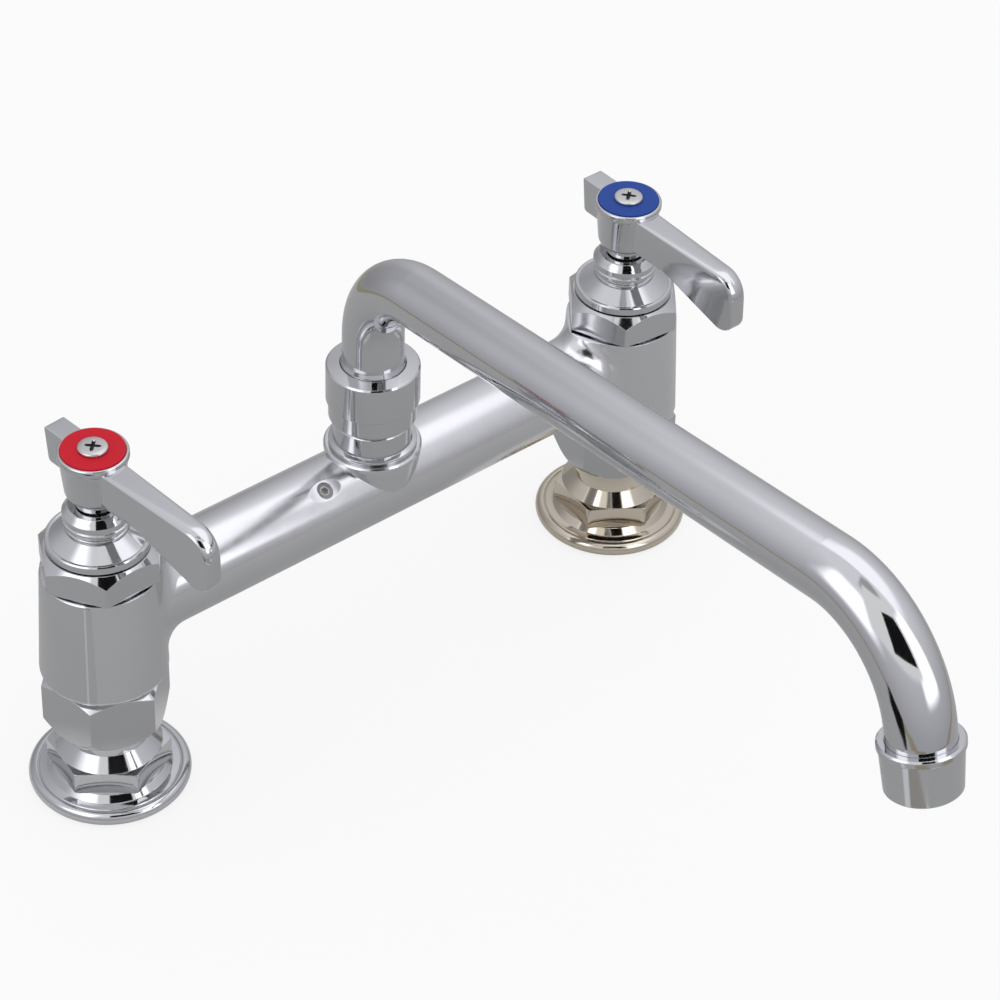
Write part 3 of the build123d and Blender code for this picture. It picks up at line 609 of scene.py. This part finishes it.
def rounded_slab(form, outline, half_at, edge, nose):
    """Upright slab with this outline of (reach, height, share of nose), and a half thickness for each point
    and side. Its rims are rounded, and its ends fully round in plan where the share of nose is 1."""
    count = len(outline)
    pairs = list(zip(outline, outline[1:] + outline[:1]))
    if sum(first[0] * second[1] - second[0] * first[1] for first, second in pairs) < 0:
        outline = outline[::-1]
    normals = []
    for index in range(count):
        before, after = outline[index - 1], outline[(index + 1) % count]
        along = Vector((after[0] - before[0], after[1] - before[1])).normalized()
        normals.append(Vector((along.y, -along.x)))
    loops = []
    for sign in (-1, 1):
        for step in range(RIM_LEVELS + 1):
            share = step / RIM_LEVELS if sign < 0 else 1 - step / RIM_LEVELS
            turn = math.radians(90 * share)
            loop = []
            for (reach, height, end), normal in zip(outline, normals):
                half = half_at(reach, height, sign)
                across = edge + (half - edge) * end
                inset = (edge + (nose - edge) * end) * (1 - math.sin(turn))
                y = sign * (half - across + across * math.cos(turn))
                spot = Vector((reach, height)) - normal * inset
                loop.append(form.verts.new((MM * spot.x, MM * y, MM * spot.y)))
            loops.append(loop)
    add_bands(form, loops)
    for face in (form.faces.new(loops[0][::-1]), form.faces.new(loops[-1])):
        for line in face.edges:
            line.smooth = False


# Levers, along +X before they are turned
LEVER_EDGE = 0.45
LEVER_NOSE = 1.3
BLADE_LOW, BLADE_HEIGHT, BLADE_REACH = 103.4, 21.5, 50
BLADE_HALF, BLADE_TAPER_UP = 2.5, 0.7
BLADE_ROOT_RIGHT, BLADE_ROOT_LEFT = 1.9, 0.9
TAIL_LOW, TAIL_HEIGHT = 114.2, 12.0
TAIL_HALF, TAIL_TAPER_UP = 3.1, 0.5


def blade_half(reach, height, sign):
    """Half thickness of the blade: more at its top and at its root."""
    root = BLADE_ROOT_RIGHT if sign < 0 else BLADE_ROOT_LEFT
    up = BLADE_TAPER_UP * (height - BLADE_LOW) / BLADE_HEIGHT
    return BLADE_HALF + up + root * (1 - reach / BLADE_REACH)


def tail_half(reach, height, sign):
    """Half thickness of the tail: more at its top."""
    return TAIL_HALF + TAIL_TAPER_UP * (height - TAIL_LOW) / TAIL_HEIGHT


def make_lever(side, x, turn):
    """Lever handle: blade with a nose round in side view and plan, short tail and tapered hub."""
    form = bmesh.new()
    blade = [(2.0, 125.0, 0.3, 0.0), (52.0, 125.0, 8.5, 1.0), (52.0, 102.6, 5.5, 0.2)]
    blade += [(21.5, 112.6, 3.0, 0.0), (2.0, 112.6, 0.3, 0.0)]
    rounded_slab(form, eased(with_middles(slab_outline(blade)), 4), blade_half, LEVER_EDGE, LEVER_NOSE)
    tail = [(-2.0, TAIL_LOW, 0.3, 0.0), (-16.9, TAIL_LOW, 1.4, 0.0)]
    tail += [(-17.6, 126.7, 0.8, 0.0), (-2.0, 126.7, 0.3, 0.0)]
    rounded_slab(form, eased(with_middles(slab_outline(tail)), 1), tail_half, LEVER_EDGE, LEVER_EDGE)
    hub = [(4.1, 107.6), (6.0, 107.6), (6.1, 110.5)] + arc(6.4, 113.0, 2.5, -85, -8, 8)
    hub += [(9.9, 123.4), (10.35, 124.2), (10.5, 124.6), (10.5, 126.0), (10.3, 126.35), (9.95, 126.5)]
    hub += [(9.62, 126.45), (9.55, 126.2), (9.55, 125.5), (2.35, 125.5), (2.35, 121.6), (4.1, 121.6)]
    add_turned(form, 0.0, hub)
    place = Matrix.Translation((MM * x, 0, 0)) @ Matrix.Rotation(math.radians(turn), 4, "Z")
    bmesh.ops.transform(form, matrix=place, verts=form.verts)
    piece_of(form, f"{side}_lever_form", f"{side}_lever", "chrome", [f"{side}_lever_handle"], 40)


def make_screw(side, x, turn):
    """Handle screw: flat head with a softened edge and a small star recess, with painted shade inside it."""
    def star(wide, narrow):
        return lambda angle: narrow + (wide - narrow) * abs(math.cos(math.radians(2 * (angle - turn)))) ** 3

    recess_reach, recess_low, recess_high = 2.3, 126.5, 128.05
    form = bmesh.new()
    rows = [(0.05, 114.9), (2.0, 114.9), (2.0, 126.9), (4.3, 126.9), (4.45, 127.05), (4.45, 127.6)]
    rows += [(4.25, 127.85), (3.9, 128.0), (3.0, 128.1), (star(2.6, 0.9), 128.1)]
    rows += [(star(2.3, 0.75), 127.7), (star(1.6, 0.5), 126.95), (0.05, 126.8)]
    add_turned(form, x, rows)
    screw = piece_of(form, f"{side}_screw_form", f"{side}_lever", "steel", [f"{side}_handle_screw"])
    # The recess takes the black rubber finish: painted shade inside it
    screw.data.materials.append(materials["rubber"])
    for face in screw.data.polygons:
        away = math.hypot(face.center.x - MM * x, face.center.y)
        if away < recess_reach * MM and recess_low < face.center.z / MM < recess_high:
            face.material_index = 1


# Turn of each lever at rest, away from -Y, and of a screw's recess from its lever
SCREW_TURN = 40
for side, x, turn in (("hot", HOT, 5.0), ("cold", COLD, 0.0)):
    make_lever(side, x, turn - 90)
    make_screw(side, x, turn + SCREW_TURN)


# Studio: lengths in metres and angles in degrees.
# The floor and the table card lie just under the object, so that their faces don't meet.
FLOOR_HALF = 6.0
FLOOR_HEIGHT = -0.0002
FLOOR_GLOW = 0.82
FLOOR_NOISE = 4.0
FLOOR_TINTS = (0.88, 0.88, 0.88), (0.9, 0.9, 0.9)
TABLE_HEIGHT = -0.0001
TABLE_STEPS = 96
AMBIENT = 0.92
TENT_CENTRE = Vector((0.05, -0.10, 0.15))
TENT_RADIUS = 0.56
TENT_SEGMENTS, TENT_RINGS = 96, 48
TENT_WHITE = (0.98, 0.98, 1.03, 1.0)
FLAG_LEFT, FLAG_RIGHT = (-0.48, -0.485), (-0.05, -0.705)
FLAG_LOW, FLAG_HIGH = 0.48, 1.38
FLAG_NOISE = 6.0
FLAG_TINTS = (0.010, 0.010, 0.011), (0.014, 0.014, 0.015)


def stage_face(name, corners):
    """One flat face of the studio, and the nodes of its own material."""
    mesh = bpy.data.meshes.new(name)
    mesh.from_pydata(corners, [], [tuple(range(len(corners)))])
    face = bpy.data.objects.new(name, mesh)
    scene.collection.objects.link(face)
    material = bpy.data.materials.new(name)
    mesh.materials.append(material)
    return face, Nodes(material)


def reflection_only(piece):
    """Studio equipment that shows in the metal but neither to the camera nor in the light on the floor."""
    piece.visible_camera = False
    piece.visible_diffuse = False
    piece.visible_transmission = False
    piece.visible_volume_scatter = False
    piece.visible_shadow = False


def make_floor():
    """Plain pale floor: white to the eye and in reflections, with the object's soft shadow on it."""
    half = FLOOR_HALF
    floor, n = stage_face("floor", [(-half, -half, 0), (half, -half, 0), (half, half, 0), (-half, half, 0)])
    floor.location.z = FLOOR_HEIGHT
    tint = n.shades(n.noise(n.place(), FLOOR_NOISE), *FLOOR_TINTS)
    lit = n.add("ShaderNodeBsdfDiffuse", {"Color": tint})
    glow = n.add("ShaderNodeEmission", {"Color": (1, 1, 1, 1), "Strength": 1.0})
    n.finish(n.mixed(n.maths("MULTIPLY", n.seen(), FLOOR_GLOW), lit, glow))


def make_world():
    """White surroundings, also in reflections, and plain light on everything else."""
    world = bpy.data.worlds.new("studio")
    scene.world = world
    n = Nodes(world)
    backdrop = n.add("ShaderNodeBackground", {"Color": (1, 1, 1, 1), "Strength": 1.0})
    ambient = n.add("ShaderNodeBackground", {"Color": (1, 1, 1, 1), "Strength": AMBIENT})
    n.finish(n.mixed(n.seen(), ambient, backdrop))


# Tent's wall: light at its foot and top, and the elevations between which it grows
WALL_LIGHT = 0.5, 1.0
WALL_ELEVATIONS = -12.0, 52.0
# Panels of the wall: direction that their angles start from, left, right, bottom, top and softness, and the
# light that a panel adds or, where negative, the share of the light that it takes away
PANELS = (
    ("+X", 74, 118, -20, 38, 14, -0.3),
    ("+X", -72, 96, 50, 95, 9, 0.55),
    ("+X", -175, -104, 62, 84, 5, -0.5),
    ("+X", -103, -67, 8, 55, 5, 1.6),
    ("-X", -24, 12, 10, 46, 9, 1.6),
)
OPENING = -168, -96, 20, 70, 3


def patch(n, azimuth, elevation, left, right, bottom, top, soft):
    """Soft-edged rectangle of the tent: 1 inside and 0 outside."""
    across = n.between(azimuth, left, right, soft)
    height = n.between(elevation, bottom, top, soft)
    return n.maths("MULTIPLY", across, height)


def make_tent():
    """Round light tent that shows in the metal only, with soft panels and an opening to the world."""
    mesh = bpy.data.meshes.new("light_tent")
    form = bmesh.new()
    bmesh.ops.create_uvsphere(form, u_segments=TENT_SEGMENTS, v_segments=TENT_RINGS, radius=TENT_RADIUS)
    form.to_mesh(mesh)
    form.free()
    mesh.polygons.foreach_set("use_smooth", [True] * len(mesh.polygons))
    tent = bpy.data.objects.new("light_tent", mesh)
    tent.location = TENT_CENTRE
    scene.collection.objects.link(tent)
    material = bpy.data.materials.new("light_tent")
    n = Nodes(material)
    x, y, z = n.split(n.place())
    opposite_x, opposite_y = n.maths("MULTIPLY", x, -1.0), n.maths("MULTIPLY", y, -1.0)
    azimuth = {"+X": n.degrees(y, x), "-X": n.degrees(opposite_y, opposite_x)}
    rise = n.maths("ARCSINE", n.maths("DIVIDE", z, TENT_RADIUS), 0)
    elevation = n.maths("MULTIPLY", rise, math.degrees(1))
    wall = n.ranged(elevation, *WALL_ELEVATIONS, *WALL_LIGHT)
    for start, left, right, bottom, top, soft, change in PANELS:
        panel = patch(n, azimuth[start], elevation, left, right, bottom, top, soft)
        if change < 0:
            kept = n.maths("SUBTRACT", 1.0, n.maths("MULTIPLY", panel, -change))
            wall = n.maths("MULTIPLY", wall, kept)
        else:
            wall = n.maths("ADD", wall, n.maths("MULTIPLY", panel, change))
    glow = n.add("ShaderNodeEmission", {"Color": TENT_WHITE, "Strength": wall})
    clear = n.add("ShaderNodeBsdfTransparent")
    n.finish(n.mixed(patch(n, azimuth["+X"], elevation, *OPENING), glow, clear))
    material.cycles.emission_sampling = "NONE"
    mesh.materials.append(material)
    reflection_only(tent)


def make_flag():
    """Black card behind the opening of the tent, on the side of the camera."""
    corners = [(*FLAG_LEFT, FLAG_LOW), (*FLAG_RIGHT, FLAG_LOW)]
    corners += [(*FLAG_RIGHT, FLAG_HIGH), (*FLAG_LEFT, FLAG_HIGH)]
    card, n = stage_face("black_card", corners)
    tint = n.shades(n.noise(n.place(), FLAG_NOISE), *FLAG_TINTS)
    n.finish(n.add("ShaderNodeBsdfDiffuse", {"Color": tint}))
    reflection_only(card)


# Table card: its colours, and the places of its rim, black patch, light discs round the columns, and
# sectors round the outlet, each given with a softness
TABLE_GREY = (0.54, 0.54, 0.545)
RIM_BROWN = (0.42, 0.37, 0.27)
RIM = 0.455, 0.6, 0.004
PATCH_BLACK = (0.01, 0.01, 0.012)
PATCH_ACROSS = -0.6, -0.33, 0.01
PATCH_ALONG = -0.19, -0.04, 0.01
DISC_LIGHT = (0.85, 0.85, 0.85)
DISC = -0.1, 0.042, 0.008
SECTOR_BAND = 0.04, 0.25, 0.01
SECTOR_SOFT = 2
SECTORS = (
    (-179, -72, (0.86, 0.86, 0.88)),
    (-164, -124, (0.42, 0.40, 0.37)),
    (-115, -103, (0.02, 0.02, 0.02)),
)


def make_table():
    """Grey card on the floor under the object."""
    turns = [2 * math.pi * step / TABLE_STEPS for step in range(TABLE_STEPS)]
    ring = [(TENT_RADIUS * math.cos(turn), TENT_RADIUS * math.sin(turn), 0) for turn in turns]
    table, n = stage_face("table_card", ring)
    table.location = (TENT_CENTRE.x, TENT_CENTRE.y, TABLE_HEIGHT)
    place = n.place()
    x, y, _ = n.split(place)
    rim = n.between(n.vector("LENGTH", place).outputs["Value"], *RIM)
    tint = n.shades(rim, TABLE_GREY, RIM_BROWN)
    position = n.add("ShaderNodeNewGeometry").outputs["Position"]
    for column in (HOT, COLD):
        away = n.vector("DISTANCE", position, (MM * column, 0, 0)).outputs["Value"]
        tint = n.shades(n.between(away, *DISC), tint, DISC_LIGHT)
    outlet = sum(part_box("aerator_housing"), Vector()) / 2
    away = n.vector("SUBTRACT", position, (outlet.x, outlet.y, 0)).outputs["Vector"]
    band = n.between(n.vector("LENGTH", away).outputs["Value"], *SECTOR_BAND)
    across, along, _ = n.split(away)
    direction = n.degrees(along, across)
    for left, right, colour in SECTORS:
        share = n.maths("MULTIPLY", band, n.between(direction, left, right, SECTOR_SOFT))
        tint = n.shades(share, tint, colour)
    black = n.maths("MULTIPLY", n.between(x, *PATCH_ACROSS), n.between(y, *PATCH_ALONG))
    tint = n.shades(black, tint, PATCH_BLACK)
    n.finish(n.add("ShaderNodeBsdfDiffuse", {"Color": tint}))
    reflection_only(table)


make_floor()
make_world()
make_tent()
make_flag()
make_table()
